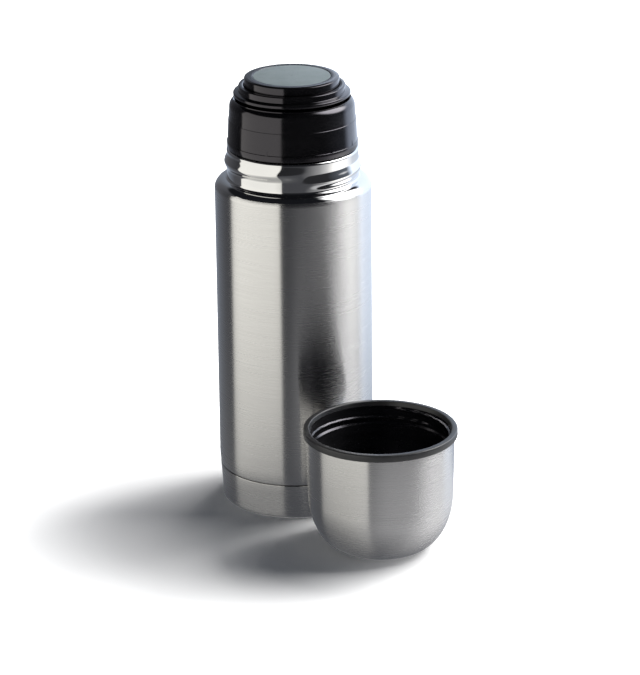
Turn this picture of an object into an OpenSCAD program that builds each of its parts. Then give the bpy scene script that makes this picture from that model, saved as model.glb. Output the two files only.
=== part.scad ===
// Vacuum flask with a push-button stopper and a cup that stands beside it.
// Millimetres, +Z up. The origin is on the flask's axis, on the surface it stands on; the front is -Y.

/* [Flask] */
// Outer diameter of the body
body_d = 70; // [64:0.5:76]
// Height of the mouth's lip above the table
lip_h = 165.8; // [150:0.1:190]
// Height of the seam between the body and the base cover
seam_h = 16.4; // [12:0.1:22]
// Thickness of the steel sheet
sheet = 0.5; // [0.4:0.05:0.6]
// Outer diameter of the steel neck
neck_d = 58.8; // [58:0.1:59]
// Inner diameter of the mouth
mouth_d = 51; // [50.8:0.1:51.2]
// Diameter of the narrow throat under the mouth
throat_d = 43.2; // [42:0.1:43.4]
// Inner diameter of the vessel
vessel_d = 57.6; // [54:0.1:58]
// Height of the shoulder's rounding
shoulder_h = 4.6; // [4:0.1:6]

/* [Stopper] */
// Rise of the stopper for one whole turn
stopper_lead = 12; // [10:0.5:14]
// Number of thread starts in the mouth
stopper_starts = 3; // [3:1:3]
// Outer diameter of the collar's foot
collar_d = 58.3; // [57:0.1:59]
// Height of the collar
collar_h = 22.2; // [21:0.1:23]
// Play between the stopper and the steel mouth
play = 0.3; // [0.2:0.05:0.35]

/* [Button] */
// Diameter of the push button
button_d = 42.2; // [42:0.1:43]
// Diameter of the disc set into the button
inlay_d = 34.2; // [30:0.1:36]
// Travel of the button
button_travel = 3.5; // [2:0.1:3.8]
// Diameter of the valve stem
stem_d = 5; // [4.5:0.1:5.2]
// Diameter of the return spring's wire
spring_wire = 0.9; // [0.6:0.1:1.2]
// Working turns of the return spring
spring_turns = 5; // [4:1:7]

/* [Cup] */
// Outer diameter of the cup's rim
cup_rim_d = 67.8; // [67.2:0.1:69]
// Outer diameter of the steel cup
cup_d = 65.2; // [64.6:0.1:65.6]
// Height of the cup
cup_h = 55.5; // [52:0.1:62]
// Radius of the flat that the cup stands on
cup_foot_r = 15.6; // [14:0.1:20]
// Place of the cup beside the flask, to the right
cup_x = 37.3; // [37:0.1:60]
// Place of the cup beside the flask, to the front
cup_y = -62.4; // [-90:0.1:-62]

/* [Hidden] */

steel_c = [0.72, 0.72, 0.73];
bright_c = [0.85, 0.85, 0.86];
black_c = [0.06, 0.06, 0.065];
dark_c = [0.14, 0.14, 0.15];
grey_c = [0.56, 0.61, 0.62];
silicone_c = [0.86, 0.87, 0.88];

fine = 96;
eps = 0.01;

body_r = body_d / 2;
neck_r = neck_d / 2;
mouth_r = mouth_d / 2;
throat_r = throat_d / 2;
vessel_r = vessel_d / 2;

// Levels of the steel neck, measured down from the lip
lip_w = (neck_r - mouth_r) / 2;
lip_round = 1.1;
lip_c = [mouth_r + lip_w, lip_h - lip_round];
shoulder_c = [neck_r - 0.2, lip_h - 18.6];
shoulder_w = body_r - shoulder_c[0];
shoulder_end = acos(1 / shoulder_w);

// The fillet between the shoulder and the neck carries on at the shoulder's slope
fillet_a = atan2(sin(shoulder_end) / shoulder_h, cos(shoulder_end) / shoulder_w);
fillet_r = 0.8 / (1 - cos(fillet_a));
fillet_z = shoulder_c[1] + shoulder_h * sin(shoulder_end) + fillet_r * sin(fillet_a);

// Lower end of the shell, inside the base cover
skirt_r = body_r - 2;
skirt_z = 6;
foot_r = body_r - 1.2;
cover_sheet = 0.6;

// The inner vessel's seat for the gasket, its throat and its shoulder
seat_top = lip_h - 14.6;
seat_h = 3.6;
throat_z = seat_top - 4.8;
vessel_top = lip_h - 32.8;
vessel_round = 8;
vessel_end = 18;
bottom_r = vessel_r - 0.05;
bottom_round = 5;
bottom_z = 12;
plate_z = 9;
plate_t = 0.6;
getter_x = 14;
getter_r = 4;
getter_h = 1.6;

// Threads: ridges that run up a right-hand helix
pitch = stopper_lead / stopper_starts;
ridge_turn = 150;
ridge_root = 0.9;
ridge_crest = 0.4;
neck_ridge_r = mouth_r - 1.15;
plug_r = mouth_r - 1.5;
plug_ridge_r = plug_r + 1.15;
neck_ridge_z = lip_h - 10.6;
mesh_drop = 1.45;
cup_thread_pitch = 4.4;
cup_thread_r = neck_r + 1.15;
cup_thread_z = lip_h - 9.5;
cup_thread_start = 275;
cup_thread_turn = 370;
cup_thread_root = 3.6;
cup_thread_crest = 1.2;

// Levels of the stopper
collar_z = lip_h + play;
collar_top = collar_z + collar_h;
collar_r = collar_d / 2;
collar_in = 25.9;
collar_round = 4;
flange_h = 2.8;
groove_h = 13;
plug_in = plug_r - 1.8;
plug_z = seat_top - 2.9;
plug_top = collar_z + 3.4;
plug_neck_r = 22.2;
gasket_top = plug_z + 3.6;
seat_hole = 13;
hub_r = 4.2;
stem_r = stem_d / 2;
stem_play = 0.08;
housing_z = collar_top - 8.8;
floor_t = 2;
ring_z = collar_top + 1.3;
ring_top = ring_z + 4.5;
low_ring_r = 26;
low_ring_h = 1.4;
high_ring_r = 23.7;
ring_edge = 0.3;
bore_r = button_d / 2 + play;
pocket_z = housing_z - 5.5;

// Levels of the button
button_r = button_d / 2;
button_top = ring_top + 3.7;
inlay_t = 1;
cap_under = button_top - inlay_t - 1.6;
skirt_low = housing_z + floor_t + button_travel + 0.6;
seal_top = plug_z - play;
seal_t = 1.8;
disc_t = 2;
valve_r = 14.8;
stud_r = 1.5;
nut_h = 2.4;

// Cup: an upright wall over a rounded bottom
cup_r = cup_d / 2;
cup_round_h = 25;
rim_h = 3.2;
rim_r = cup_rim_d / 2;
liner_t = 1.2;
liner_gap = 0.05;
liner_low_r = 30.2;
liner_high_r = 30.8;
liner_thread_r = 30.05;
liner_thread_z = cup_h - 8.1;

// Points on an ellipse, from angle a0 to a1
function oval(c, rx, rz, a0, a1, n) =
  [for (i = [0:n]) let (a = a0 + (a1 - a0) * i / n) c + [rx * cos(a), rz * sin(a)]];

// Points on a circle, from angle a0 to a1
function arc(c, r, a0, a1, n = 8) = oval(c, r, r, a0, a1, n);

// Normal on the right-hand side of the step from a to b
function side(a, b) = let (d = b - a) [d[1], -d[0]] / norm(d);

// The outline p moved by t towards its left-hand side
function moved(p, t) =
  let (m = len(p) - 1)
  [for (i = [0:m])
    let (
      before = side(p[max(i - 1, 0)], p[max(i, 1)]),
      after = side(p[min(i, m - 1)], p[min(i + 1, m)])
    )
    p[i] - t * (before + after) / (1 + before * after)];

function back(p) = [for (i = [len(p) - 1:-1:0]) p[i]];

// A turned sheet: the outline is its right-hand face
module turned_sheet(outline, t) {
  rotate_extrude($fn = fine) polygon(concat(outline, back(moved(outline, t))));
}

module turned(outline) {
  rotate_extrude($fn = fine) polygon(outline);
}

module tube(r_out, r_in, z0, z1) {
  translate([0, 0, z0])
    difference() {
      cylinder(r = r_out, h = z1 - z0, $fn = fine);
      translate([0, 0, -1]) cylinder(r = r_in, h = z1 - z0 + 2, $fn = fine);
    }
}

// One helical ridge. root_r and crest_r are its radii, and both ends taper into the root.
module ridge(root_r, crest_r, root_w, crest_w, z0, lead, turn, steps) {
  fade = 3;
  points = [for (i = [0:steps])
    let (
      a = turn * i / steps,
      z = z0 + lead * a / 360,
      lift = min(1, (i + 0.3) / fade, (steps - i + 0.3) / fade),
      top = root_r + (crest_r - root_r) * lift
    )
    for (p = [[root_r, -root_w], [top, -crest_w], [top, crest_w], [root_r, root_w]])
      [p[0] * cos(a), p[0] * sin(a), z + p[1]]];
  sides = [for (i = [0:steps - 1], j = [0:3])
    [4 * i + j, 4 * i + 4 + j, 4 * i + 4 + (j + 1) % 4, 4 * i + (j + 1) % 4]];
  last = 4 * steps;
  faces = concat([[0, 1, 2, 3]], sides, [[last + 3, last + 2, last + 1, last]]);
  polyhedron(points, crest_r < root_r ? faces : [for (f = faces) back(f)], convexity = 6);
}

// ---- Flask ----

module outer_shell() {
  outline = concat(
    [[skirt_r, skirt_z], [skirt_r, seam_h], [body_r - 0.3, seam_h]],
    [[body_r - 0.12, seam_h + 2.4], [body_r, seam_h + 6]],
    oval(shoulder_c, shoulder_w, shoulder_h, 0, shoulder_end, 10),
    arc([neck_r + fillet_r, fillet_z], fillet_r, 180 + 0.7 * fillet_a, 180, 3),
    oval(lip_c, lip_w, lip_round, 0, 90, 6)
  );
  color(steel_c)
    union() {
      turned_sheet(outline, sheet);
      rotate([0, 0, cup_thread_start])
        ridge(neck_r - 0.3, cup_thread_r, cup_thread_root, cup_thread_crest,
              cup_thread_z, cup_thread_pitch, cup_thread_turn, 44);
    }
}

module inner_vessel() {
  outline = concat(
    oval(lip_c, lip_w, lip_round, 90, 180, 6),
    [[mouth_r, seat_top], [mouth_r - 3.4, seat_top - seat_h], [throat_r, throat_z]],
    [[throat_r, throat_z - 1.8]],
    arc([vessel_r - vessel_round, vessel_top], vessel_round, 75, 0, 8),
    [[vessel_r, vessel_end]]
  );
  color(bright_c)
    union() {
      turned_sheet(outline, sheet);
      for (k = [0:stopper_starts - 1])
        rotate([0, 0, 360 * k / stopper_starts])
          ridge(mouth_r + 0.2, neck_ridge_r, ridge_root, ridge_crest,
                neck_ridge_z, stopper_lead, ridge_turn, 18);
    }
}

module inner_bottom() {
  outline = concat(
    [[0, bottom_z + 1.6], [bottom_r - bottom_round - 4, bottom_z + 0.2]],
    arc([bottom_r - bottom_round, bottom_z + bottom_round], bottom_round, -90, 0, 6),
    [[bottom_r, vessel_end + 4]]
  );
  color(bright_c) turned_sheet(outline, sheet);
}

module outer_bottom() {
  flange_r = skirt_r - sheet - 0.05;
  color(steel_c)
    difference() {
      union() {
        tube(flange_r, flange_r - plate_t, skirt_z, plate_z + plate_t);
        translate([0, 0, plate_z]) cylinder(r = flange_r, h = plate_t, $fn = fine);
      }
      translate([0, 0, plate_z - 1]) cylinder(r = 0.8, h = 3, $fn = 32);
    }
}

module base_cover() {
  edge_r = 1.7;
  outline = concat(
    [[0, 0.9], [foot_r - 7.2, 0.9], [foot_r - 6.3, 0]],
    arc([foot_r - edge_r, edge_r], edge_r, -90, 0, 6),
    [[body_r - 0.9, seam_h * 0.5], [body_r - 0.5, seam_h * 0.78], [body_r - 0.25, seam_h - 0.25]]
  );
  color(steel_c) turned_sheet(outline, cover_sheet);
}

module vacuum_seal() {
  color(bright_c)
    turned([[0, plate_z - 1.4], [1.6, plate_z - 0.9], [2.4, plate_z], [0.8, plate_z],
            [0.8, plate_z + plate_t], [0, plate_z + plate_t]]);
}

module getter_tablet() {
  color(dark_c)
    translate([getter_x, 0, plate_z + plate_t]) cylinder(r = getter_r, h = getter_h, $fn = fine);
}

module getter_clip() {
  clip_t = 0.3;
  clip_w = 3;
  leg = getter_r + 0.2;
  translate([getter_x, 0, plate_z + plate_t])
    color(bright_c)
      union() {
        translate([-leg - clip_t, -clip_w / 2, getter_h])
          cube([2 * (leg + clip_t), clip_w, clip_t]);
        for (s = [0, 1])
          mirror([s, 0, 0]) {
            translate([leg, -clip_w / 2, 0]) cube([clip_t, clip_w, getter_h + clip_t]);
            translate([leg, -clip_w / 2, 0]) cube([1.6, clip_w, clip_t]);
          }
      }
}

module radiation_shield() {
  shield_r = vessel_r + 1.7;
  color([0.85, 0.55, 0.35]) tube(shield_r + 0.1, shield_r, vessel_end + 6, vessel_top - 4);
}

// ---- Stopper ----

module plug_gasket() {
  in_r = plug_neck_r + 0.08;
  color(silicone_c)
    turned([[in_r, plug_z + 0.2], [plug_neck_r + 0.3, plug_z + 0.2], [plug_r, plug_z + 1.8],
            [plug_r, gasket_top - 0.1], [in_r, gasket_top - 0.1]]);
}

module stopper_collar() {
  groove_z = collar_z + groove_h;
  top_c = [collar_r - 1.25 - collar_round, collar_top - collar_round];
  color(black_c)
    turned(concat(
      [[plug_r, collar_z], [collar_r - 0.3, collar_z], [collar_r, collar_z + 0.3]],
      [[collar_r, collar_z + flange_h - 0.2], [collar_r - 0.3, collar_z + flange_h]],
      [[collar_r - 0.72, groove_z - 0.25], [collar_r - 1, groove_z], [collar_r - 0.75, groove_z + 0.25]],
      arc(top_c, collar_round, 0, 66, 7),
      [[collar_in, collar_top], [collar_in, collar_z + flange_h], [plug_r, collar_z + flange_h]]
    ));
}

module stopper_plug() {
  spokes = 4;
  plate_h = 2;
  color(dark_c)
    union() {
      turned([
          [seat_hole, plug_z], [plug_neck_r, plug_z], [plug_neck_r, gasket_top], [plug_r, gasket_top],
          [plug_r, plug_top], [plug_in, plug_top], [plug_in, gasket_top + 1.5],
          [plug_neck_r - 1.6, gasket_top + 0.3], [plug_neck_r - 1.6, plug_z + plate_h],
          [seat_hole, plug_z + plate_h]
      ]);
      tube(hub_r, stem_r + stem_play, plug_z, plug_z + 8);
      for (k = [0:spokes - 1])
        rotate([0, 0, 360 * k / spokes + 45])
          translate([hub_r - 0.5, -1, plug_z + 0.4]) cube([seat_hole - hub_r + 1, 2, plate_h - 0.4]);
      for (k = [0:stopper_starts - 1])
        rotate([0, 0, 360 * k / stopper_starts])
          ridge(plug_r - 0.3, plug_ridge_r, ridge_root, ridge_crest,
                neck_ridge_z - mesh_drop, stopper_lead, ridge_turn, 18);
    }
}

module button_housing() {
  sleeve_r = bore_r + 1.5;
  ribs = 4;
  low_hub_r = hub_r + 1.8;
  boss_r = 5;
  boss_h = 3;
  neck_h = 3;
  color(black_c)
    union() {
      turned([
        [low_hub_r, pocket_z], [low_hub_r, housing_z], [sleeve_r, housing_z], [sleeve_r, ring_z - 0.2],
        [low_ring_r - ring_edge, ring_z], [low_ring_r, ring_z + ring_edge],
        [low_ring_r, ring_z + low_ring_h - ring_edge], [low_ring_r - ring_edge, ring_z + low_ring_h],
        [high_ring_r + ring_edge, ring_z + low_ring_h + 0.2],
        [high_ring_r, ring_z + low_ring_h + 0.2 + ring_edge],
        [high_ring_r, ring_top - ring_edge], [high_ring_r - ring_edge, ring_top],
        [bore_r + ring_edge, ring_top], [bore_r, ring_top - ring_edge], [bore_r, housing_z + floor_t],
        [boss_r, housing_z + floor_t], [boss_r, housing_z + floor_t + boss_h],
        [stem_r + stem_play, housing_z + floor_t + boss_h],
        [stem_r + stem_play, housing_z - neck_h], [hub_r, housing_z - neck_h], [hub_r, pocket_z]
      ]);
      intersection() {
        for (k = [0:ribs - 1])
          rotate([0, 0, 360 * k / ribs])
            translate([sleeve_r - 0.5, -1, housing_z + 0.5]) cube([4, 2, 6]);
        cylinder(r = collar_in, h = 2 * lip_h, $fn = fine);
      }
    }
}

module stem_seal() {
  color(silicone_c) tube(hub_r, stem_r + stem_play, pocket_z + 0.3, housing_z - 3);
}

// A round wire along a helix whose end turns lie nearly flat
module return_spring() {
  coil_r = 8.5;
  wire_r = spring_wire / 2;
  low = housing_z + floor_t + wire_r + 0.05;
  high = cap_under - wire_r - 0.05;
  turns = spring_turns + 2;
  per_turn = 18;
  sides = 8;
  rings = turns * per_turn;
  function rise(t) = t < 1 ? spring_wire * t * 1.05
    : t > turns - 1 ? high - low - spring_wire * (turns - t) * 1.05
    : spring_wire * 1.05 + (high - low - spring_wire * 2.1) * (t - 1) / (turns - 2);
  points = [for (i = [0:rings], j = [0:sides - 1])
    let (
      t = i / per_turn,
      r = coil_r + wire_r * cos(360 * j / sides)
    )
    [r * cos(360 * t), r * sin(360 * t), low + rise(t) + wire_r * sin(360 * j / sides)]];
  skin = [for (i = [0:rings - 1], j = [0:sides - 1])
    [sides * i + j, sides * i + (j + 1) % sides,
     sides * (i + 1) + (j + 1) % sides, sides * (i + 1) + j]];
  start = [for (j = [sides - 1:-1:0]) j];
  end = [for (j = [0:sides - 1]) sides * rings + j];
  color(bright_c) polyhedron(points, [for (f = concat([start], skin, [end])) back(f)], convexity = 10);
}

// ---- Button and valve ----

module button_cap() {
  inlay_r = inlay_d / 2 + 0.05;
  wall = 1.5;
  boss_r = stem_r + 1.8;
  color(black_c)
    turned(concat(
      [[stem_r, cap_under - 5], [boss_r, cap_under - 5], [boss_r, cap_under]],
      [[button_r - wall, cap_under], [button_r - wall, skirt_low], [button_r, skirt_low]],
      arc([button_r - 1.2, button_top - 1.4], 1.2, 0, 90, 5),
      [[inlay_r + 0.3, button_top], [inlay_r, button_top - 0.2], [inlay_r, button_top - inlay_t]],
      [[stem_r, button_top - inlay_t]]
    ));
}

module button_inlay() {
  color(grey_c)
    translate([0, 0, button_top - inlay_t]) cylinder(r = inlay_d / 2, h = inlay_t, $fn = fine);
}

module valve_stem() {
  color(dark_c)
    union() {
      translate([0, 0, seal_top]) cylinder(r = stem_r, h = button_top - inlay_t - seal_top, $fn = fine);
      translate([0, 0, seal_top - seal_t - disc_t - nut_h - 0.4])
        cylinder(r = stud_r, h = seal_t + disc_t + nut_h + 0.4 + eps, $fn = 48);
    }
}

module valve_seal() {
  color(silicone_c) tube(valve_r - 0.2, stud_r, seal_top - seal_t, seal_top);
}

module valve_disc() {
  low = seal_top - seal_t - disc_t;
  color(dark_c)
    turned([[stud_r, low], [valve_r - 1.2, low], [valve_r, low + 1], [valve_r, low + disc_t],
            [stud_r, low + disc_t]]);
}

module stem_nut() {
  low = seal_top - seal_t - disc_t - nut_h;
  color(bright_c)
    translate([0, 0, low])
      difference() {
        cylinder(r = 3.2, h = nut_h, $fn = 6);
        translate([0, 0, -1]) cylinder(r = stud_r, h = nut_h + 2, $fn = 48);
      }
}

// ---- Cup ----

// The steel cup's outer face, from the middle of its foot to under the rim
function cup_face() = concat(
  [[0, 0.6], [cup_foot_r - 2.4, 0.6], [cup_foot_r - 1.6, 0]],
  oval([cup_foot_r, cup_round_h], cup_r - 0.6 - cup_foot_r, cup_round_h, -90, 0, 14),
  [[cup_r, cup_h - rim_h - 0.4]]
);

module cup_shell() {
  translate([cup_x, cup_y, 0])
    color(steel_c) turned_sheet(cup_face(), sheet);
}

module cup_liner() {
  inside_r = cup_r - sheet - liner_gap;
  low = 0.6 + sheet + liner_gap;
  in_foot = cup_foot_r - 0.6;
  outer = concat(
    [[0, low + 0.15], [cup_foot_r - 3, low + 0.15]],
    oval([cup_foot_r, cup_round_h], inside_r - 0.6 - cup_foot_r, cup_round_h - low + 0.35, -82, 0, 12),
    [[inside_r, cup_h - rim_h]],
    [[rim_r - 0.4, cup_h - rim_h], [rim_r, cup_h - rim_h + 0.4]],
    arc([rim_r - 0.9, cup_h - 0.9], 0.9, 0, 90, 4)
  );
  inner = concat(
    [[rim_r - 2.1, cup_h], [rim_r - 2.75, cup_h - 0.6]],
    [[liner_high_r, cup_h - 2.6], [liner_high_r, cup_h - 9.4], [liner_low_r, cup_h - 10.2]],
    oval([in_foot, cup_round_h], liner_low_r - 0.6 - in_foot, cup_round_h - low - liner_t - 0.15,
         0, -90, 12),
    [[0, low + liner_t + 0.15]]
  );
  translate([cup_x, cup_y, 0])
    color(black_c)
      union() {
        turned(concat(outer, inner));
        rotate([0, 0, 40])
          ridge(liner_high_r + 0.2, liner_thread_r, 0.75, 0.3,
                liner_thread_z, cup_thread_pitch, cup_thread_turn, 44);
      }
}

outer_shell();
inner_vessel();
inner_bottom();
outer_bottom();
base_cover();
vacuum_seal();
getter_tablet();
getter_clip();
radiation_shield();
plug_gasket();
stopper_collar();
stopper_plug();
button_housing();
stem_seal();
return_spring();
button_cap();
button_inlay();
valve_stem();
valve_seal();
valve_disc();
stem_nut();
cup_shell();
cup_liner();
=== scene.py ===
import math

import bmesh
import bpy
import numpy as np
from mathutils import Matrix, Vector


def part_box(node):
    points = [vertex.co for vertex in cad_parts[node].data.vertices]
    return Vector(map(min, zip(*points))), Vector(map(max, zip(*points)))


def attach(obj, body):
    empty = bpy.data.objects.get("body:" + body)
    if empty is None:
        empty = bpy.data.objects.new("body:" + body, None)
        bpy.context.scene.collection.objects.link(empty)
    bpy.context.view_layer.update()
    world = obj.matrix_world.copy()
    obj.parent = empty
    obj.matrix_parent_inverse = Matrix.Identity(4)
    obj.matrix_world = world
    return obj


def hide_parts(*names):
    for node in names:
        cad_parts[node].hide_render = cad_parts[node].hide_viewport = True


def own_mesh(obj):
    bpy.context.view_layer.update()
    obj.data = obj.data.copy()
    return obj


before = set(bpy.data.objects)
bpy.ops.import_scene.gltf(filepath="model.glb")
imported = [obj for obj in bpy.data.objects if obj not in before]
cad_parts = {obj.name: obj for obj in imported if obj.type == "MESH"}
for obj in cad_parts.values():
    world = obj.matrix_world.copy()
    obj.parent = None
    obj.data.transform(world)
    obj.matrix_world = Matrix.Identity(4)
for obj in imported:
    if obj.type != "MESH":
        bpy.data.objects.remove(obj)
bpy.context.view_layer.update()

MM = 0.001
SEGMENTS = 256  # steps round a turned piece
TINY = 1e-7  # metres; points nearer than this are one point
scene = bpy.context.scene


# ---- Sizes, read from the frame or stated from it, in metres ----

def radius(node):
    """Half the width of a node's box."""
    low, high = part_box(node)
    return (high.x - low.x) / 2


def top(node):
    """The height of the node's highest point."""
    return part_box(node)[1].z


def bottom(node):
    """The height of the node's lowest point."""
    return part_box(node)[0].z


def middle(node):
    """The place (x, y) of the node's upright axis."""
    low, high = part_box(node)
    return (low.x + high.x) / 2, (low.y + high.y) / 2


BODY_R = radius("outer_shell")
LIP_Z = top("outer_shell")
SEAM_Z = top("base_cover")
SHEET = 0.5 * MM
NECK_R = 29.4 * MM
MOUTH_R = 25.5 * MM
COLLAR_R = radius("stopper_collar")
COLLAR_LOW = bottom("stopper_collar")
COLLAR_TOP = top("stopper_collar")
BUTTON_R = radius("button_cap")
BUTTON_TOP = top("button_cap")
INLAY_R = radius("button_inlay")
RINGS_TOP = top("button_housing")
RINGS_R = radius("button_housing")
CUP_AT = middle("cup_shell")
CUP_R = radius("cup_shell")
CUP_TOP = top("cup_liner")
RIM_R = radius("cup_liner")
RIM_H = CUP_TOP - top("cup_shell")


# ---- Camera ----

CAMERA_AT = Vector((11.3, -1400.0, 586.3)) * MM
CAMERA_PITCH = math.radians(20.074)
CAMERA_ROLL = math.radians(-0.596)
CAMERA_LENS = 175.3

camera_data = bpy.data.cameras.new("camera")
camera_data.lens = CAMERA_LENS
camera_data.clip_end = 50
camera = bpy.data.objects.new("camera", camera_data)
scene.collection.objects.link(camera)
look = Matrix.Rotation(math.pi / 2 - CAMERA_PITCH, 4, "X") @ Matrix.Rotation(CAMERA_ROLL, 4, "Z")
camera.matrix_world = Matrix.Translation(CAMERA_AT) @ look
scene.camera = camera


# ---- Outlines ----

def arc(centre, rx, rz, start, end, steps):
    """Points (r, z) on an ellipse between two angles in degrees."""
    angles = np.radians(np.linspace(start, end, steps + 1))
    return [(centre[0] + rx * math.cos(a), centre[1] + rz * math.sin(a)) for a in angles]


def rounded(corners, steps=4):
    """An outline whose corners (r, z, fillet) are rounded off."""
    points = []
    count = len(corners)
    for i, (r, z, fillet) in enumerate(corners):
        here = Vector((r, z))
        if fillet == 0:
            points.append((r, z))
            continue
        to_last = (Vector(corners[i - 1][:2]) - here).normalized()
        to_next = (Vector(corners[(i + 1) % count][:2]) - here).normalized()
        half = to_last.angle(to_next) / 2
        reach = fillet / math.tan(half)
        centre = here + (to_last + to_next).normalized() * (fillet / math.sin(half))
        first = here + to_last * reach - centre
        last = here + to_next * reach - centre
        turn = first.angle_signed(last)
        for k in range(steps + 1):
            p = centre + Matrix.Rotation(-turn * k / steps, 2) @ first
            points.append((p.x, p.y))
    return points


def spread(points, step):
    """The outline with long steps cut into even ones."""
    result = []
    for a, b in zip(points, points[1:]):
        n = max(1, int(math.dist(a, b) / step))
        result += [(a[0] + (b[0] - a[0]) * k / n, a[1] + (b[1] - a[1]) * k / n) for k in range(n)]
    return result + [points[-1]]


def inset(points, thickness):
    """The open outline moved to its left by the thickness."""
    p = np.array([q for i, q in enumerate(points) if i == 0 or math.dist(q, points[i - 1]) > TINY])
    d = np.diff(p, axis=0)
    side = np.stack([d[:, 1], -d[:, 0]], 1) / np.linalg.norm(d, axis=1)[:, None]
    before = np.vstack([side[:1], side])
    after = np.vstack([side, side[-1:]])
    miter = (before + after) / (1 + (before * after).sum(1))[:, None]
    return [tuple(q) for q in p - thickness * miter]


# ---- Mesh building ----

def to_object(name, bm, sharp=35):
    """A smooth-shaded object from a bmesh, with edges above the sharp angle kept crisp."""
    bmesh.ops.recalc_face_normals(bm, faces=bm.faces)
    mesh = bpy.data.meshes.new(name)
    bm.to_mesh(mesh)
    bm.free()
    mesh.shade_smooth()
    mesh.set_sharp_from_angle(angle=math.radians(sharp))
    piece = bpy.data.objects.new(name, mesh)
    scene.collection.objects.link(piece)
    return piece


def add_lathe(bm, outline, at=(0, 0), push=None, closed=True):
    """Turns the outline (r, z) round the upright axis at a place. push(angle, r, z) gives a new r."""
    angles = [math.tau * k / SEGMENTS for k in range(SEGMENTS)]
    rings = []
    for r, z in outline:
        if r < TINY:
            rings.append([bm.verts.new((at[0], at[1], z))])
            continue
        radii = [push(a, r, z) if push else r for a in angles]
        rings.append([
            bm.verts.new((at[0] + q * math.cos(a), at[1] + q * math.sin(a), z))
            for q, a in zip(radii, angles)
        ])
    pairs = list(zip(rings, rings[1:]))
    if closed:
        pairs.append((rings[-1], rings[0]))
    for low, high in pairs:
        for k in range(SEGMENTS):
            n = (k + 1) % SEGMENTS
            corners = [low[k % len(low)], low[n % len(low)], high[n % len(high)], high[k % len(high)]]
            unique = list(dict.fromkeys(corners))
            if len(unique) > 2:
                bm.faces.new(unique)


def lathe(name, outline, at=(0, 0), push=None, closed=True, sharp=35):
    """An object made by turning one outline."""
    bm = bmesh.new()
    add_lathe(bm, outline, at, push, closed)
    return to_object(name, bm, sharp)


def smooth_step(x):
    """A soft rise from 0 to 1 while x goes from 0 to 1."""
    x = min(1.0, max(0.0, x))
    return x * x * (3 - 2 * x)


# ---- Material helpers ----

def times(colour, factor):
    """A colour made brighter or darker."""
    return tuple(factor * c for c in colour)


class Paint:
    """A material's node tree with short calls for what the materials here share."""

    def __init__(self, name, **values):
        self.material = bpy.data.materials.new(name)
        self.material.use_nodes = True
        self.nodes = self.material.node_tree.nodes
        self.links = self.material.node_tree.links
        self.shader = self.nodes["Principled BSDF"]
        for key, value in values.items():
            self.shader.inputs[key.replace("_", " ")].default_value = value

    def coords(self, scale):
        """Object coordinates, in metres, times a scale for each axis."""
        source = self.nodes.new("ShaderNodeTexCoord")
        mapping = self.nodes.new("ShaderNodeMapping")
        mapping.inputs["Scale"].default_value = scale
        self.links.new(source.outputs["Object"], mapping.inputs["Vector"])
        return mapping.outputs["Vector"]

    def noise(self, scale, detail=2.0, roughness=0.5):
        """Cloudy noise; scale is the number of its grains in a metre along each axis."""
        node = self.nodes.new("ShaderNodeTexNoise")
        node.inputs["Scale"].default_value = 1.0
        node.inputs["Detail"].default_value = detail
        node.inputs["Roughness"].default_value = roughness
        self.links.new(self.coords(scale), node.inputs["Vector"])
        return node.outputs["Fac"]

    def spread(self, value, low, high, start=0.3, end=0.7):
        """The value from start..end mapped to low..high."""
        node = self.nodes.new("ShaderNodeMapRange")
        node.inputs["From Min"].default_value = start
        node.inputs["From Max"].default_value = end
        node.inputs["To Min"].default_value = low
        node.inputs["To Max"].default_value = high
        self.links.new(value, node.inputs["Value"])
        return node.outputs["Result"]

    def ramp(self, value, stops):
        """A colour ramp: stops are (place, colour)."""
        node = self.nodes.new("ShaderNodeValToRGB")
        elements = node.color_ramp.elements
        while len(elements) < len(stops):
            elements.new(0.5)
        for element, (place, colour) in zip(elements, stops):
            element.position = place
            element.color = (*colour, 1.0)
        self.links.new(value, node.inputs["Fac"])
        return node.outputs["Color"]

    def bump(self, height, depth):
        """Small relief, at most depth metres deep."""
        node = self.nodes.new("ShaderNodeBump")
        node.inputs["Strength"].default_value = 1.0
        node.inputs["Distance"].default_value = depth
        self.links.new(height, node.inputs["Height"])
        return node.outputs["Normal"]

    def feed(self, socket, value):
        """Links a value to a socket of the shader."""
        self.links.new(value, self.shader.inputs[socket])

    def radial_tangent(self):
        """Makes brushing run round the object's upright axis."""
        node = self.nodes.new("ShaderNodeTangent")
        node.direction_type = "RADIAL"
        node.axis = "Z"
        self.feed("Tangent", node.outputs["Tangent"])


# ---- Materials ----

def brushed_steel(name, tint=1.0):
    """Steel brushed round its axis: fine lines, and reflections drawn out along the axis."""
    paint = Paint(name, Metallic=1.0, Anisotropic=1.0, Anisotropic_Rotation=0.25)
    paint.radial_tangent()
    streaks = paint.noise((55, 55, 4200), detail=3.0, roughness=0.6)
    bands = paint.noise((25, 25, 1800), detail=2.0)
    dark = times((0.565, 0.56, 0.553), tint)
    light = times((0.63, 0.625, 0.617), tint)
    paint.feed("Base Color", paint.ramp(streaks, [(0.25, dark), (0.75, light)]))
    paint.feed("Roughness", paint.spread(bands, 0.262, 0.276))
    paint.feed("Normal", paint.bump(streaks, 0.0004 * MM))
    return paint.material


def polished_steel(name, roughness=0.06):
    """Bright rolled steel with faint waves left by forming and a few hairline marks."""
    paint = Paint(name, Metallic=1.0)
    waves = paint.noise((40, 40, 160), detail=1.0)
    hairs = paint.noise((300, 300, 2200), detail=3.0)
    paint.feed("Base Color", paint.ramp(waves, [(0.3, (0.56, 0.56, 0.56)), (0.7, (0.63, 0.628, 0.62))]))
    paint.feed("Roughness", paint.spread(hairs, roughness * 0.7, roughness * 1.5))
    paint.feed("Normal", paint.bump(waves, 0.01 * MM))
    return paint.material


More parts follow.
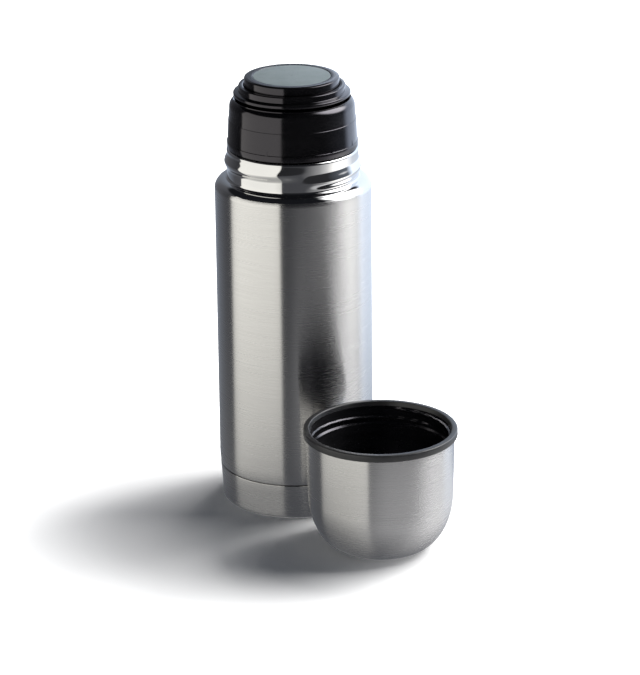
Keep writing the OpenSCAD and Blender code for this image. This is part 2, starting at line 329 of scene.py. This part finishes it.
def gloss_black(name, roughness=0.1, base=0.002):
    """Black moulded plastic with a faint flow grain and light handling marks."""
    paint = Paint(name, IOR=1.5, Specular_Tint=(1.0, 0.95, 1.04, 1.0))
    grain = paint.noise((900, 900, 900), detail=2.0)
    marks = paint.noise((60, 60, 240), detail=4.0, roughness=0.7)
    dark = (base, base, base * 1.1)
    paint.feed("Base Color", paint.ramp(marks, [(0.3, dark), (0.7, times(dark, 2))]))
    paint.feed("Roughness", paint.spread(marks, roughness * 0.7, roughness * 1.6))
    paint.feed("Normal", paint.bump(grain, 0.002 * MM))
    return paint.material


def satin_black(name, roughness=0.38, base=0.014):
    """Black moulded plastic with a fine satin texture."""
    paint = Paint(name, IOR=1.5)
    grain = paint.noise((3500, 3500, 3500), detail=2.0)
    cloud = paint.noise((120, 120, 120), detail=3.0)
    paint.feed("Base Color", paint.ramp(cloud, [(0.3, (base, base, base * 1.1)), (0.7, (base * 1.6,) * 3)]))
    paint.feed("Roughness", paint.spread(cloud, roughness * 0.85, roughness * 1.15))
    paint.feed("Normal", paint.bump(grain, 0.01 * MM))
    return paint.material


def grey_disc(name):
    """Matt grey-green plastic with a sanded grain."""
    paint = Paint(name, IOR=1.45)
    grain = paint.noise((2500, 2500, 2500), detail=3.0)
    cloud = paint.noise((150, 150, 150), detail=3.0)
    paint.feed("Base Color", paint.ramp(cloud, [(0.3, (0.136, 0.165, 0.172)), (0.7, (0.16, 0.19, 0.198))]))
    paint.feed("Roughness", paint.spread(grain, 0.5, 0.62))
    paint.feed("Normal", paint.bump(grain, 0.012 * MM))
    return paint.material


def silicone(name):
    """Milky silicone rubber."""
    paint = Paint(name, IOR=1.41, Subsurface_Weight=0.3, Subsurface_Scale=2 * MM)
    dust = paint.noise((1400, 1400, 1400), detail=4.0)
    cloud = paint.noise((90, 90, 90), detail=2.0)
    paint.feed("Base Color", paint.ramp(cloud, [(0.3, (0.62, 0.63, 0.64)), (0.7, (0.72, 0.73, 0.74))]))
    paint.feed("Roughness", paint.spread(dust, 0.36, 0.5))
    paint.feed("Normal", paint.bump(dust, 0.006 * MM))
    return paint.material


def dull_metal(name, dark, light, roughness):
    """Unpolished metal with a mottled surface."""
    paint = Paint(name, Metallic=1.0)
    mottle = paint.noise((700, 700, 700), detail=5.0, roughness=0.65)
    paint.feed("Base Color", paint.ramp(mottle, [(0.3, dark), (0.7, light)]))
    paint.feed("Roughness", paint.spread(mottle, roughness * 0.8, roughness * 1.2))
    paint.feed("Normal", paint.bump(mottle, 0.02 * MM))
    return paint.material


brushed_body = brushed_steel("brushed_body")
brushed_cup = brushed_steel("brushed_cup", tint=0.97)
polished = polished_steel("polished_steel")
vessel_steel = polished_steel("vessel_steel", roughness=0.12)
collar_black = gloss_black("collar_black")
plug_black = satin_black("plug_black", roughness=0.3)
liner_black = satin_black("liner_black")
liner_gloss = gloss_black("liner_gloss", roughness=0.16, base=0.009)
disc_grey = grey_disc("disc_grey")
seal_milky = silicone("seal_milky")
wire = polished_steel("spring_wire", roughness=0.18)
bead_metal = dull_metal("bead_metal", (0.2, 0.19, 0.18), (0.36, 0.35, 0.33), 0.45)
getter_metal = dull_metal("getter_metal", (0.08, 0.08, 0.085), (0.16, 0.16, 0.165), 0.7)
copper = dull_metal("copper_foil", (0.72, 0.38, 0.22), (0.86, 0.52, 0.33), 0.22)


def dress(piece, *materials):
    """Gives a piece its materials, in the order of their slots."""
    piece.data.materials.clear()
    for material in materials:
        piece.data.materials.append(material)
    return piece


def settle(piece, body, slot, *nodes):
    """The piece rides on a body and stands for CAD nodes; its slot is not used."""
    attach(piece, body)
    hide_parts(*nodes)
    return piece


# ---- Flask ----

SHOULDER = (NECK_R - 0.2 * MM, LIP_Z - 18.6 * MM)
SHOULDER_W = BODY_R - SHOULDER[0]
SHOULDER_H = 4.6 * MM
SHOULDER_END = 80
LIP_W = (NECK_R - MOUTH_R) / 2
LIP_H = 1.1 * MM
THREAD_PITCH = 4.4 * MM
THREAD_RISE = 1.12 * MM
THREAD_HALF = 3.8 * MM
THREAD_START = math.radians(275)
THREAD_TURN = math.radians(370)
THREAD_Z = LIP_Z - 9.5 * MM
THREAD_RUN_IN = 0.5  # radians over which the thread rises at its start
THREAD_RUN_OUT = 0.7
POLISH_Z = SHOULDER[1] + 2.2 * MM  # the steel is polished above this height


def thread_travels(angle, start, turn):
    """How far along a thread of one to two turns each of its passes at an angle lies, in radians."""
    first = (angle - start) % math.tau
    return [travel for travel in (first, first + math.tau) if travel <= turn]


def thread_height(angle, z):
    """How far the rolled thread stands out of the neck at an angle and height."""
    height = 0.0
    for travel in thread_travels(angle, THREAD_START, THREAD_TURN):
        centre = THREAD_Z + THREAD_PITCH * travel / math.tau
        off = abs(z - centre) / THREAD_HALF
        run_in = smooth_step(travel / THREAD_RUN_IN)
        run_out = smooth_step((THREAD_TURN - travel) / THREAD_RUN_OUT)
        if off < 1:
            height = max(height, min(run_in, run_out) * THREAD_RISE * (0.5 + 0.5 * math.cos(math.pi * off)))
    return height


def shell_push(angle, r, z):
    """Adds the thread to the neck's outer face, and lets it die out in the fillet."""
    if z < SHOULDER[1] + SHOULDER_H or r < NECK_R - 0.25 * MM or z > LIP_Z - LIP_H:
        return r
    return r + thread_height(angle, z) * smooth_step(1 - (r - NECK_R) / (0.8 * MM))


def build_outer_shell():
    """Skirt, body, shoulder, neck and lip in one sheet, brushed below and polished above."""
    end = math.radians(SHOULDER_END)
    bend = math.atan2(math.sin(end) / SHOULDER_H, math.cos(end) / SHOULDER_W)
    fillet = (SHOULDER[0] + SHOULDER_W * math.cos(end) - NECK_R) / (1 - math.cos(bend))
    fillet_z = SHOULDER[1] + SHOULDER_H * math.sin(end) + fillet * math.sin(bend)
    bend = math.degrees(bend)
    seam = SEAM_Z + 0.25 * MM
    skirt_r = BODY_R - 2 * MM
    skirt_z = bottom("outer_shell")
    wall = [(skirt_r, skirt_z), (skirt_r, seam)]
    wall += arc((BODY_R - 0.75 * MM, seam + 0.35 * MM), 0.35 * MM, 0.35 * MM, -90, -10, 4)
    wall += [(BODY_R - 0.2 * MM, seam + 2 * MM), (BODY_R - 0.05 * MM, seam + 4 * MM)]
    wall += [(BODY_R, seam + 6 * MM)]
    wall += [(BODY_R, SHOULDER[1] - 0.4 * MM)]
    wall += arc(SHOULDER, SHOULDER_W, SHOULDER_H, 0, SHOULDER_END, 32)
    wall += arc((NECK_R + fillet, fillet_z), fillet, fillet, 180 + bend, 180, 12)[1:]
    wall += spread([(NECK_R, fillet_z + 0.1 * MM), (NECK_R, LIP_Z - LIP_H)], 0.2 * MM)
    wall += arc((MOUTH_R + LIP_W, LIP_Z - LIP_H), LIP_W, LIP_H, 8, 90, 10)
    back = list(reversed(inset(wall, SHEET)))
    piece = lathe("outer_shell_body", wall + back, push=shell_push, sharp=50)
    dress(piece, brushed_body, polished)
    for face in piece.data.polygons:
        if face.center.z > POLISH_Z:
            face.material_index = 1
    return settle(piece, "flask", "brushed_body", "outer_shell")


def build_base_cover():
    """The pressed cup that closes the flask below its seam, with a standing ring."""
    foot = BODY_R - 1.2 * MM
    edge = 1.7 * MM
    recess = 0.9 * MM
    wall = [(0, recess), (foot - 7.6 * MM, recess)]
    wall += arc((foot - 7.6 * MM, recess - 0.6 * MM), 0.6 * MM, 0.6 * MM, 90, 30, 4)
    wall += [(foot - 6.6 * MM, 0.05 * MM), (foot - 6.2 * MM, 0)]
    wall += arc((foot - edge, edge), edge, edge, -90, 0, 10)
    wall += [(BODY_R - 1.05 * MM, 5 * MM), (BODY_R - 0.88 * MM, 8.5 * MM), (BODY_R - 0.62 * MM, 12 * MM)]
    wall += [(BODY_R - 0.3 * MM, SEAM_Z - 0.4 * MM)]
    wall += arc((BODY_R - 0.55 * MM, SEAM_Z - 0.25 * MM), 0.25 * MM, 0.25 * MM, 10, 90, 4)
    back = list(reversed(inset(wall, SHEET)))
    piece = dress(lathe("base_cover_shell", wall + back), brushed_body)
    return settle(piece, "flask", "brushed_body", "base_cover")


# ---- Stopper ----

COLLAR_IN = 25.9 * MM
FLANGE_H = 2.8 * MM
COLLAR_ROUND = 4 * MM
LUG_COUNT = 12
LUG_OFFSET = 7  # degrees


def add_lug(bm, angle, z):
    """A small grip rib that stands on the flange's ledge."""
    deep, wide, tall = 1.2 * MM, 0.45 * MM, 2.3 * MM
    face = COLLAR_R - 0.06 * MM
    along = Vector((math.cos(angle), math.sin(angle), 0))
    across = Vector((-math.sin(angle), math.cos(angle), 0))
    low, high = Vector((0, 0, z - 0.3 * MM)), Vector((0, 0, z + tall))
    outer = [along * face + across * s * wide + low for s in (-1, 1)]
    outer += [along * (face - 0.3 * MM) + across * s * wide * 0.7 + high for s in (1, -1)]
    inner = [p - along * deep for p in outer]
    front = [bm.verts.new(p) for p in outer]
    rear = [bm.verts.new(p) for p in inner]
    bm.faces.new(front)
    bm.faces.new(list(reversed(rear)))
    for k in range(4):
        n = (k + 1) % 4
        bm.faces.new([front[n], front[k], rear[k], rear[n]])


def build_collar():
    """The gripped shell of the stopper: a flange with ribs, a tapered wall with a fine groove."""
    z = COLLAR_LOW
    plug_r = 24.0 * MM
    groove = z + 13 * MM
    shoulder = (COLLAR_R - 1.25 * MM - COLLAR_ROUND, COLLAR_TOP - COLLAR_ROUND)
    outline = rounded([
        (plug_r, z, 0),
        (COLLAR_R, z, 0.35 * MM),
        (COLLAR_R, z + FLANGE_H, 0.25 * MM),
        (COLLAR_R - 0.3 * MM, z + FLANGE_H + 0.12 * MM, 0.1 * MM),
        (COLLAR_R - 0.76 * MM, groove - 0.22 * MM, 0.1 * MM),
        (COLLAR_R - 1.05 * MM, groove, 0.05 * MM),
        (COLLAR_R - 0.80 * MM, groove + 0.22 * MM, 0.1 * MM),
    ])
    outline += arc(shoulder, COLLAR_ROUND, COLLAR_ROUND, 0, 66, 14)
    outline += rounded([
        (COLLAR_IN + 0.2 * MM, COLLAR_TOP, 0),
        (COLLAR_IN, COLLAR_TOP - 0.2 * MM, 0),
        (COLLAR_IN, z + FLANGE_H, 0),
        (plug_r, z + FLANGE_H, 0),
    ])
    bm = bmesh.new()
    add_lathe(bm, outline)
    for k in range(LUG_COUNT):
        add_lug(bm, math.radians(360 * k / LUG_COUNT + LUG_OFFSET), z + FLANGE_H)
    piece = dress(to_object("collar_shell", bm), collar_black)
    return settle(piece, "stopper", "black_gloss", "stopper_collar")


HIGH_RING_R = 23.7 * MM


def build_rings():
    """The two-step ring stack and the sleeve and hub that guide the button and its stem."""
    low = bottom("button_housing")
    step = RINGS_TOP - 4.5 * MM
    bore = BUTTON_R + 0.3 * MM
    sleeve = bore + 1.5 * MM
    floor_low = COLLAR_TOP - 8.8 * MM
    floor_top = floor_low + 2 * MM
    hub_r, low_hub, stem = 4.2 * MM, 6 * MM, 2.58 * MM
    boss, boss_top = 5 * MM, floor_top + 3 * MM
    outline = rounded([
        (low_hub, low, 0.2 * MM),
        (low_hub, floor_low, 0),
        (sleeve, floor_low, 0.3 * MM),
        (sleeve, step - 0.2 * MM, 0),
        (RINGS_R, step, 0.3 * MM),
        (RINGS_R, step + 1.4 * MM, 0.55 * MM),
        (HIGH_RING_R, step + 1.75 * MM, 0.3 * MM),
        (HIGH_RING_R, RINGS_TOP, 0.5 * MM),
        (bore, RINGS_TOP, 0.35 * MM),
        (bore, floor_top, 0),
        (boss, floor_top, 0),
        (boss, boss_top, 0.3 * MM),
        (stem, boss_top, 0.1 * MM),
        (stem, floor_low - 3 * MM, 0),
        (hub_r, floor_low - 3 * MM, 0),
        (hub_r, low, 0.2 * MM),
    ])
    piece = dress(lathe("button_rings", outline), collar_black)
    return settle(piece, "stopper", "black_gloss", "button_housing")


# ---- Button ----

def build_button():
    """The push button: a cap with a raised rim round the disc, and a boss for the stem."""
    low = bottom("button_cap")
    inlay_edge = INLAY_R + 0.05 * MM
    recess = BUTTON_TOP - 1.0 * MM
    under = recess - 1.6 * MM
    stem = 2.5 * MM
    boss = stem + 1.8 * MM
    wall = 1.5 * MM
    outline = rounded([
        (stem, under - 5 * MM, 0),
        (boss, under - 5 * MM, 0.3 * MM),
        (boss, under, 0.4 * MM),
        (BUTTON_R - wall, under, 0.4 * MM),
        (BUTTON_R - wall, low, 0.2 * MM),
        (BUTTON_R, low, 0.2 * MM),
        (BUTTON_R, BUTTON_TOP - 0.35 * MM, 0.5 * MM),
        (BUTTON_R - 1.3 * MM, BUTTON_TOP, 0.5 * MM),
        (inlay_edge + 0.25 * MM, BUTTON_TOP, 0.12 * MM),
        (inlay_edge, BUTTON_TOP - 0.2 * MM, 0.05 * MM),
        (inlay_edge, recess, 0),
        (stem, recess, 0),
    ])
    piece = dress(lathe("button_body", outline), collar_black)
    return settle(piece, "button", "black_gloss", "button_cap")


def build_inlay():
    """The disc in the button, with its moulding gate in the middle."""
    low = bottom("button_inlay")
    high = top("button_inlay") - 0.02 * MM
    gate = 0.9 * MM
    outline = [(0, low), (INLAY_R - 0.1 * MM, low), (INLAY_R, low + 0.1 * MM)]
    outline += arc((INLAY_R - 0.18 * MM, high - 0.18 * MM), 0.18 * MM, 0.18 * MM, 0, 90, 4)
    outline += [(gate, high), (gate * 0.86, high - 0.1 * MM), (gate * 0.4, high - 0.1 * MM)]
    outline += [(gate * 0.3, high - 0.02 * MM), (0, high - 0.01 * MM)]
    piece = dress(lathe("button_disc", outline, closed=False), disc_grey)
    return settle(piece, "button", "grey_disc", "button_inlay")


SPRING_WIRE = 0.9 * MM
SPRING_TURNS = 7


def build_spring():
    """The spring under the button; its end turns are ground flat."""
    low = bottom("return_spring")
    high = top("return_spring")
    wire_r = SPRING_WIRE / 2
    coil_r = radius("return_spring") - wire_r
    travel = high - low - 2 * wire_r
    per_turn, sides = 72, 16
    rings = SPRING_TURNS * per_turn
    close = SPRING_WIRE * 1.05

    def rise(turn):
        middle_turns = (turn - 1) / (SPRING_TURNS - 2)
        if turn < 1:
            return close * turn
        if turn > SPRING_TURNS - 1:
            return travel - close * (SPRING_TURNS - turn)
        return close + (travel - 2 * close) * middle_turns

    bm = bmesh.new()
    loops = []
    for i in range(rings + 1):
        turn = i / per_turn
        angle = math.tau * turn
        height = low + wire_r + rise(turn)
        loop = []
        for j in range(sides):
            around = math.tau * j / sides
            r = coil_r + wire_r * math.cos(around)
            z = min(max(height + wire_r * math.sin(around), low), high)
            loop.append(bm.verts.new((r * math.cos(angle), r * math.sin(angle), z)))
        loops.append(loop)
    for first, second in zip(loops, loops[1:]):
        for j in range(sides):
            k = (j + 1) % sides
            bm.faces.new((first[j], second[j], second[k], first[k]))
    bm.faces.new(loops[0])
    bm.faces.new(list(reversed(loops[-1])))
    piece = dress(to_object("spring_coil", bm), wire)
    settle(piece, "stopper", "spring_steel", "return_spring")
    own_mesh(piece)
    return piece


# ---- Cup ----

CUP_FOOT = 15.6 * MM
CUP_ROUND = 25 * MM
LINER_HIGH_R = 30.8 * MM
LINER_LOW_R = 30.2 * MM
CUP_THREAD_Z = CUP_TOP - 8.1 * MM
CUP_THREAD_START = math.radians(40)
CUP_THREAD_TURN = math.radians(400)
CUP_THREAD_DEPTH = 0.7 * MM
CUP_THREAD_HALF = 0.85 * MM
CUP_THREAD_RUN = 0.3
CUP_THREAD_FLANK = 1.6


def build_cup_shell():
    """The cup's steel bowl, with a small standing ring."""
    wall = [(0, 0.6 * MM), (CUP_FOOT - 2.6 * MM, 0.6 * MM), (CUP_FOOT - 1.9 * MM, 0.12 * MM)]
    wall += arc((CUP_FOOT, CUP_ROUND), CUP_R - 0.6 * MM - CUP_FOOT, CUP_ROUND, -90, 0, 40)
    wall += [(CUP_R - 0.25 * MM, CUP_ROUND + 12 * MM), (CUP_R, CUP_TOP - RIM_H - 1.0 * MM)]
    wall += [(CUP_R, CUP_TOP - RIM_H)]
    back = list(reversed(inset(wall, SHEET)))
    piece = dress(lathe("cup_steel", wall + back, at=CUP_AT), brushed_cup)
    return settle(piece, "cup", "brushed_cup", "cup_shell")


def liner_push(angle, r, z):
    """The thread inside the mouth of the cup."""
    if abs(r - LINER_HIGH_R) > 0.02 * MM:
        return r
    depth = 0.0
    for travel in thread_travels(angle, CUP_THREAD_START, CUP_THREAD_TURN):
        centre = CUP_THREAD_Z + THREAD_PITCH * travel / math.tau
        off = abs(z - centre) / CUP_THREAD_HALF
        run = smooth_step(min(travel, CUP_THREAD_TURN - travel) / CUP_THREAD_RUN)
        if off < 1:
            depth = max(depth, CUP_THREAD_DEPTH * run * smooth_step(CUP_THREAD_FLANK * (1 - off)))
    return r - depth


def build_cup_liner():
    """The plastic lining, its thick rim and the thread in its mouth."""
    inside = CUP_R - SHEET - 0.05 * MM
    low = bottom("cup_liner")
    in_foot = CUP_FOOT - 0.6 * MM
    in_low = low + 1.2 * MM
    rim_low = CUP_TOP - 3.2 * MM
    outer = [(0, low), (CUP_FOOT - 3 * MM, low)]
    outer_w, outer_h = inside - 0.6 * MM - CUP_FOOT, CUP_ROUND - low + 0.2 * MM
    outer += arc((CUP_FOOT, CUP_ROUND), outer_w, outer_h, -82, 0, 24)
    outer += [(inside, rim_low)]
    rim = rounded([
        (inside, rim_low, 0),
        (RIM_R, rim_low, 0.45 * MM),
        (RIM_R, CUP_TOP, 0.75 * MM),
        (RIM_R - 2.5 * MM, CUP_TOP, 0.5 * MM),
        (LINER_HIGH_R, CUP_TOP - 2.0 * MM, 0.3 * MM),
        (LINER_HIGH_R, CUP_TOP - 2.6 * MM, 0),
    ], steps=6)[1:]
    wall = spread([(LINER_HIGH_R, CUP_TOP - 2.6 * MM), (LINER_HIGH_R, CUP_TOP - 9.4 * MM)], 0.15 * MM)
    inner = [(LINER_LOW_R, CUP_TOP - 10.2 * MM)]
    inner += arc((in_foot, CUP_ROUND), LINER_LOW_R - 0.6 * MM - in_foot, CUP_ROUND - in_low, 0, -90, 40)
    inner += [(0, in_low)]
    outline = outer + rim + wall[1:] + inner
    piece = lathe("cup_lining", outline, at=CUP_AT, push=liner_push, closed=False)
    dress(piece, liner_black, liner_gloss)
    for face in piece.data.polygons:
        away = math.hypot(face.center.x - CUP_AT[0], face.center.y - CUP_AT[1])
        if away < LINER_HIGH_R + 0.15 * MM:
            face.material_index = 1
    return settle(piece, "cup", "liner_black", "cup_liner")


build_outer_shell()
build_base_cover()
build_collar()
build_rings()
build_button()
build_inlay()
build_spring()
build_cup_shell()
build_cup_liner()


# ---- CAD nodes that stay ----

KEPT = {
    "inner_vessel": vessel_steel,
    "inner_bottom": vessel_steel,
    "outer_bottom": vessel_steel,
    "vacuum_seal": bead_metal,
    "getter_tablet": getter_metal,
    "getter_clip": vessel_steel,
    "radiation_shield": copper,
    "plug_gasket": seal_milky,
    "stopper_plug": plug_black,
    "stem_seal": seal_milky,
    "valve_stem": plug_black,
    "valve_seal": seal_milky,
    "valve_disc": plug_black,
    "stem_nut": wire,
}
for node, material in KEPT.items():
    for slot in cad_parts[node].material_slots:
        slot.material = material


# ---- Studio ----

def hide_from(piece, camera=False, diffuse=False, glossy=False, shadow=False):
    """Which rays don't meet a stage object."""
    piece.visible_camera = not camera
    piece.visible_diffuse = not diffuse
    piece.visible_glossy = not glossy
    piece.visible_shadow = not shadow


def bearing(degrees):
    """The direction on the floor at an angle from the front, to the right."""
    a = math.radians(degrees)
    return math.sin(a), -math.cos(a)


def distance_from(nodes, links, vector, point):
    """How far a vector is from a fixed point."""
    node = nodes.new("ShaderNodeVectorMath")
    node.operation = "DISTANCE"
    node.inputs[1].default_value = point
    links.new(vector, node.inputs[0])
    return node.outputs["Value"]


def soft_range(nodes, links, value, start, end, low=0.0, high=1.0):
    """The value from start..end mapped to low..high, with soft ends."""
    node = nodes.new("ShaderNodeMapRange")
    node.interpolation_type = "SMOOTHSTEP"
    node.inputs["From Min"].default_value = start
    node.inputs["From Max"].default_value = end
    node.inputs["To Min"].default_value = low
    node.inputs["To Max"].default_value = high
    links.new(value, node.inputs["Value"])
    return node.outputs["Result"]


def level_square(name, centre, half, height):
    """A level square, as an object."""
    corners = ((-1, -1), (1, -1), (1, 1), (-1, 1))
    bm = bmesh.new()
    bm.faces.new([bm.verts.new((centre[0] + x * half, centre[1] + y * half, height)) for x, y in corners])
    return to_object(name, bm)


def blank_material(name):
    """A material with an empty node tree."""
    material = bpy.data.materials.new(name)
    material.use_nodes = True
    material.node_tree.nodes.clear()
    return material


FLOOR_HALF = 12.0
# Painted light on the floor: its glow grows from nothing near this point to full far off, and fades the
# shadows out.
GLOW_AT = (-24 * MM, -50 * MM, 0)
GLOW_NEAR = 48 * MM
GLOW_FAR = 150 * MM
GLOW = 0.9


def build_floor():
    """A white floor that glows, as painted light, more and more away from a round area under the flask, so
    that the cast shadows fade out to white.
    """
    floor = level_square("floor", (0, 0), FLOOR_HALF, 0)
    paint = Paint("floor_white_painted_glow", Base_Color=(0.86, 0.86, 0.86, 1.0), Roughness=0.9, Specular_IOR_Level=0.0)
    paint.shader.inputs["Emission Color"].default_value = (1.0, 1.0, 1.0, 1.0)
    away = distance_from(paint.nodes, paint.links, paint.coords((1, 1, 1)), GLOW_AT)
    glow = soft_range(paint.nodes, paint.links, away, GLOW_NEAR, GLOW_FAR, 0.0, GLOW)
    paint.feed("Emission Strength", glow)
    dress(floor, paint.material)
    hide_from(floor, glossy=True)


SOFTBOX = (1.45, 1.43, 1.35)
SHADE = (0.095, 0.097, 0.108)
BACKDROP = (0.62, 0.70, 0.84)
CEILING = (0.012, 0.013, 0.016)
# Painted highlight: a bright round patch on the surround in the key lamp's direction, in place of the
# lamp's own reflection.
LAMP_HIGHLIGHT = (8.5, 8.5, 8.6)
LAMP_WAY = (0.70, 0.22, 0.68)
LAMP_CORE = 0.24
LAMP_EDGE = 0.52

SURROUND_R = 9.0

# What lies at each bearing, as (degrees, colour); 0 is the front and 90 the right.
# Below the horizon: dim backdrop, dark gap, softbox at the left, dark front, bright right.
LOW_VIEW = [
    (-180, BACKDROP),
    (-150, times(BACKDROP, 0.4)),
    (-122, times(SHADE, 1.2)),
    (-102, times(SHADE, 1.2)),
    (-101, SOFTBOX),
    (-32, SOFTBOX),
    (-19.9, times(SOFTBOX, 0.82)),
    (-18.9, SHADE),
    (20, SHADE),
    (47, (0.50, 0.50, 0.51)),
    (61, (0.95, 0.95, 0.96)),
    (76, (1.9, 1.88, 1.86)),
    (92, (2.6, 2.58, 2.55)),
    (110, (1.8, 1.81, 1.82)),
    (127, (1.0, 1.05, 1.14)),
    (150, (0.78, 0.87, 1.0)),
    (180, (0.66, 0.75, 0.9)),
]
# Round the horizon: the same softbox, a darker front and right, and a bright backdrop behind.
MIDDLE_VIEW = [
    (-180, times(BACKDROP, 0.5)),
    (-150, times(SHADE, 1.5)),
    (-102, times(SHADE, 0.5)),
    (-101, SOFTBOX),
    (-19.9, SOFTBOX),
    (-18.9, times(SHADE, 0.3)),
    (60, times(SHADE, 0.4)),
    (104, times(BACKDROP, 0.3)),
    (118, times(BACKDROP, 2.6)),
    (180, times(BACKDROP, 2.0)),
]


def math_node(nodes, links, operation, first, second=0.0):
    """One maths node; each input is a number or a socket."""
    node = nodes.new("ShaderNodeMath")
    node.operation = operation
    for socket, value in zip(node.inputs, (first, second)):
        if isinstance(value, float):
            socket.default_value = value
        else:
            links.new(value, socket)
    return node.outputs["Value"]


def sweep(nodes, links, value, stops):
    """A colour ramp over bearings in degrees, where 0 is the front and 90 the right."""
    ramp = nodes.new("ShaderNodeValToRGB")
    elements = ramp.color_ramp.elements
    while len(elements) < len(stops):
        elements.new(0.5)
    for element, (degrees, colour) in zip(elements, stops):
        element.position = (degrees + 180) / 360
        element.color = (*colour, 1.0)
    links.new(value, ramp.inputs["Fac"])
    return ramp.outputs["Color"]


def blend(nodes, links, factor, first, second):
    """A mix of two colours; the second is a socket or a fixed colour."""
    node = nodes.new("ShaderNodeMix")
    node.data_type = "RGBA"
    links.new(factor, node.inputs["Factor"])
    links.new(first, node.inputs["A"])
    if isinstance(second, tuple):
        node.inputs["B"].default_value = (*second, 1.0)
    else:
        links.new(second, node.inputs["B"])
    return node.outputs["Result"]


def sine(degrees):
    """The height on the unit sphere at an elevation."""
    return math.sin(math.radians(degrees))


def build_surround():
    """What the shiny parts reflect: a big shell, seen only in reflections, with a softbox at the left,
    a dark front, a bright right-hand side and a painted highlight of the key lamp."""
    bm = bmesh.new()
    bmesh.ops.create_uvsphere(bm, u_segments=96, v_segments=48, radius=SURROUND_R)
    shell = to_object("surround", bm)
    material = blank_material("surround_glow")
    nodes, links = material.node_tree.nodes, material.node_tree.links
    coords = nodes.new("ShaderNodeTexCoord")
    unit = nodes.new("ShaderNodeVectorMath")
    unit.operation = "NORMALIZE"
    parts = nodes.new("ShaderNodeSeparateXYZ")
    links.new(coords.outputs["Object"], unit.inputs[0])
    links.new(unit.outputs["Vector"], parts.inputs["Vector"])
    front = math_node(nodes, links, "MULTIPLY", parts.outputs["Y"], -1.0)
    angle = math_node(nodes, links, "ARCTAN2", parts.outputs["X"], front)
    turn = math_node(nodes, links, "MULTIPLY", angle, 0.5 / math.pi)
    place = math_node(nodes, links, "ADD", turn, 0.5)
    height = parts.outputs["Z"]
    low_view = sweep(nodes, links, place, LOW_VIEW)
    middle_view = sweep(nodes, links, place, MIDDLE_VIEW)
    above_low = soft_range(nodes, links, height, sine(-16.8), sine(-12))
    walls = blend(nodes, links, above_low, low_view, middle_view)
    above_walls = soft_range(nodes, links, height, sine(30), sine(36))
    room = blend(nodes, links, above_walls, walls, CEILING)
    # Paints the key lamp's highlight onto the surround.
    from_lamp = distance_from(nodes, links, unit.outputs["Vector"], LAMP_WAY)
    near_lamp = soft_range(nodes, links, from_lamp, LAMP_EDGE, LAMP_CORE)
    lit = blend(nodes, links, near_lamp, room, LAMP_HIGHLIGHT)
    emission = nodes.new("ShaderNodeEmission")
    output = nodes.new("ShaderNodeOutputMaterial")
    links.new(lit, emission.inputs["Color"])
    links.new(emission.outputs["Emission"], output.inputs["Surface"])
    dress(shell, material)
    hide_from(shell, camera=True, diffuse=True, shadow=True)


def floor_patch(name, lift, centre, near, far, cover, colour):
    """A soft round patch above the floor, seen only in reflections, that fades out from near to far. A dark
    colour paints shade and a bright one paints light where the shiny parts would see the floor, which they
    don't reflect.
    """
    patch = level_square(name, centre, far, lift)
    material = blank_material(name)
    nodes, links = material.node_tree.nodes, material.node_tree.links
    coords = nodes.new("ShaderNodeTexCoord")
    away = distance_from(nodes, links, coords.outputs["Object"], (*centre, lift))
    fade = soft_range(nodes, links, away, near, far, 1 - cover, 1.0)
    mix = nodes.new("ShaderNodeMixShader")
    grey = nodes.new("ShaderNodeEmission")
    grey.inputs["Color"].default_value = (*colour, 1.0)
    clear = nodes.new("ShaderNodeBsdfTransparent")
    output = nodes.new("ShaderNodeOutputMaterial")
    links.new(fade, mix.inputs["Fac"])
    links.new(grey.outputs["Emission"], mix.inputs[1])
    links.new(clear.outputs["BSDF"], mix.inputs[2])
    links.new(mix.outputs["Shader"], output.inputs["Surface"])
    dress(patch, material)
    hide_from(patch, camera=True, diffuse=True, shadow=True)


LIGHT_AWAY = 3.0
LIGHT_AIM = Vector((0, 0, 0.06))
LIGHT_COLOUR = (1.0, 0.995, 0.985)
AIR_COLOUR = (0.76, 0.86, 1.08)
AIR_LEVEL = 0.09


def area_light(name, side, elevation, width, height, power):
    """A softbox that faces the flask, at a bearing (side) and an elevation in degrees."""
    data = bpy.data.lights.new(name, "AREA")
    data.shape = "RECTANGLE"
    data.size, data.size_y = width, height
    data.energy = power
    data.color = LIGHT_COLOUR
    light = bpy.data.objects.new(name, data)
    scene.collection.objects.link(light)
    x, y = bearing(side)
    level = math.cos(math.radians(elevation))
    away = Vector((x * level, y * level, sine(elevation)))
    light.location = LIGHT_AIM + away * LIGHT_AWAY
    light.rotation_euler = away.to_track_quat("Z", "Y").to_euler()
    light.visible_camera = False
    # The lamp gives no reflection of its own; its highlight is painted on the surround.
    light.visible_glossy = False


def build_studio():
    """Floor, surround, patches, lights and air."""
    build_floor()
    build_surround()
    # Painted shade: the floor round the flask, as the shiny parts see it, darkened as by the shadows.
    floor_patch("near_floor_painted_shade", 0.1 * MM, (0.015, -0.04), 0.06, 0.40, 0.72, (0.20, 0.203, 0.21))
    # Painted light: the floor in front of and beside the cup, as the shiny parts see it, made brighter.
    floor_patch("cup_fill_painted_light", 0.2 * MM, (0.075, -0.165), 0.02, 0.12, 0.85, (0.80, 0.80, 0.82))
    floor_patch("cup_side_painted_light", 0.25 * MM, (0.135, -0.055), 0.05, 0.10, 0.80, (1.15, 1.15, 1.18))
    floor_patch("contact_shade", 0.3 * MM, (0.010, -0.035), 0.05, 0.09, 0.80, (0.11, 0.115, 0.13))
    area_light("key_light", 106, 43, 1.9, 1.4, 108.0)
    area_light("back_light", 140, 55, 1.6, 1.4, 60.0)
    world = bpy.data.worlds.new("studio_air")
    world.use_nodes = True
    air = world.node_tree.nodes["Background"]
    air.inputs["Color"].default_value = (*AIR_COLOUR, 1.0)
    air.inputs["Strength"].default_value = AIR_LEVEL
    scene.world = world
    scene.view_settings.view_transform = "Standard"
    scene.view_settings.look = "None"


build_studio()
